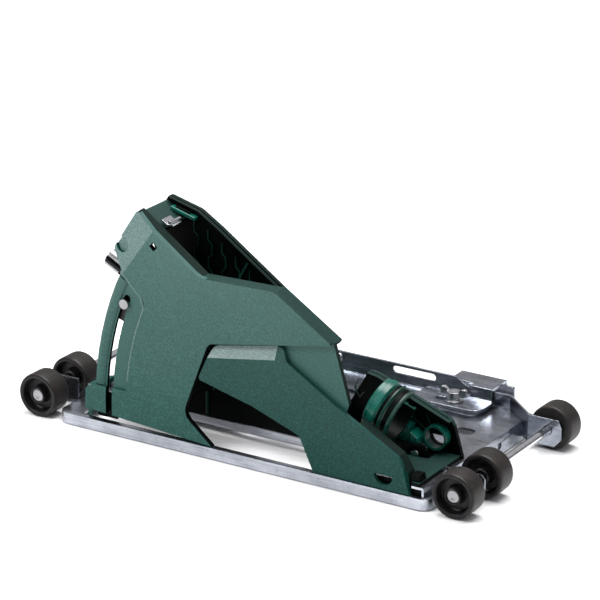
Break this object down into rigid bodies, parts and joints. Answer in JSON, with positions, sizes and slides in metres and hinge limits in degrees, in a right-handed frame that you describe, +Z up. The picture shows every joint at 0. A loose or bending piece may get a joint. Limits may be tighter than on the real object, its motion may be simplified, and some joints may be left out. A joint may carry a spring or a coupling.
{
  "type": "wall chaser",
  "caption": "Dust hood and sled for wall chasing: an angled green hood that swings down on a pivot over a slotted steel sled on wheels, with a sliding edge guide and a suction socket.",
  "frame": {"origin": "middle of the object's base, on the floor under it", "axes": "+X along the sled towards its rear, away from the hood's nose; +Y across the sled from the hood's side to the edge guide; +Z up"},
  "size_m": [0.3476, 0.165, 0.1592],
  "materials": {
    "shell": "fine-grained moulded dark green plastic",
    "inner": "moulded dark green plastic, smoother and deeper in colour",
    "wheel": "satin black hard plastic",
    "zinc": "bright zinc-plated sheet steel",
    "steel": "bright plated turned steel",
    "black": "black moulded plastic"
  },
  "bodies": {
    "sled": {"skid_frame": "zinc", "deck_plate": "zinc", "side_rail": "zinc", "rail_rivet_1": "steel", "rail_rivet_2": "steel", "rail_rivet_3": "steel", "axle_front": "steel", "axle_rear": "steel", "axle_cap_front_far": "steel", "axle_cap_front_near": "steel", "axle_cap_rear_far": "steel", "axle_cap_rear_near": "steel", "screw_washer": "steel", "leg_panel": "shell", "rear_housing": "inner", "suction_socket": "inner", "pivot_pin": "steel"},
    "hood": {"hood_near_shell": "shell", "hood_far_shell": "inner", "grinder_collar": "steel", "collar_screw": "steel", "shell_screw_1": "steel", "shell_screw_2": "steel", "nose_clip": "steel", "lock_sleeve": "black"},
    "depth_stop": {"depth_stop_block": "black", "depth_stop_bolt": "steel", "depth_stop_knob": "black"},
    "lock_pin": {"lock_pin": "steel"},
    "guide_bracket": {"guide_bracket": "zinc"},
    "wing_screw": {"wing_screw": "steel"},
    "wheel_rear_near": {"wheel_rear_near": "wheel"},
    "wheel_rear_inner": {"wheel_rear_inner": "wheel"},
    "wheel_rear_far": {"wheel_rear_far": "wheel"},
    "wheel_front_near": {"wheel_front_near": "wheel"},
    "wheel_front_inner": {"wheel_front_inner": "wheel"},
    "wheel_front_far": {"wheel_front_far": "wheel"}
  },
  "joints": [
    {"name": "hood_plunge", "type": "hinge", "parent": "sled", "child": "hood", "pos_m": [0.1088, -0.0405, 0.018], "axis": [0, 1, 0], "range_deg": [0, 12]},
    {"name": "depth_stop_travel", "type": "hinge", "parent": "hood", "child": "depth_stop", "pos_m": [0.1088, -0.0725, 0.018], "axis": [0, 1, 0], "range_deg": [-14, 0]},
    {"name": "lock_pin_press", "type": "slide", "parent": "hood", "child": "lock_pin", "axis": [0.8884, 0, -0.4592], "range_m": [0, 0.004], "stiffness_N_per_m": 400},
    {"name": "guide_slide", "type": "slide", "parent": "sled", "child": "guide_bracket", "axis": [1, 0, 0], "range_m": [0, 0.01]},
    {"name": "wing_screw_turn", "type": "hinge", "parent": "sled", "child": "wing_screw", "pos_m": [0.0868, 0.0485, 0.02], "axis": [0, 0, 1], "continuous": true},
    {"name": "wheel_rear_near_spin", "type": "hinge", "parent": "sled", "child": "wheel_rear_near", "pos_m": [0.1588, -0.0742, 0.015], "axis": [0, 1, 0], "continuous": true},
    {"name": "wheel_rear_inner_spin", "type": "hinge", "parent": "sled", "child": "wheel_rear_inner", "pos_m": [0.1588, -0.0376, 0.015], "axis": [0, 1, 0], "continuous": true},
    {"name": "wheel_rear_far_spin", "type": "hinge", "parent": "sled", "child": "wheel_rear_far", "pos_m": [0.1588, 0.0565, 0.015], "axis": [0, 1, 0], "continuous": true},
    {"name": "wheel_front_near_spin", "type": "hinge", "parent": "sled", "child": "wheel_front_near", "pos_m": [-0.1588, -0.0742, 0.015], "axis": [0, 1, 0], "continuous": true},
    {"name": "wheel_front_inner_spin", "type": "hinge", "parent": "sled", "child": "wheel_front_inner", "pos_m": [-0.1588, -0.0376, 0.015], "axis": [0, 1, 0], "continuous": true},
    {"name": "wheel_front_far_spin", "type": "hinge", "parent": "sled", "child": "wheel_front_far", "pos_m": [-0.1588, 0.0565, 0.015], "axis": [0, 1, 0], "continuous": true}
  ]
}
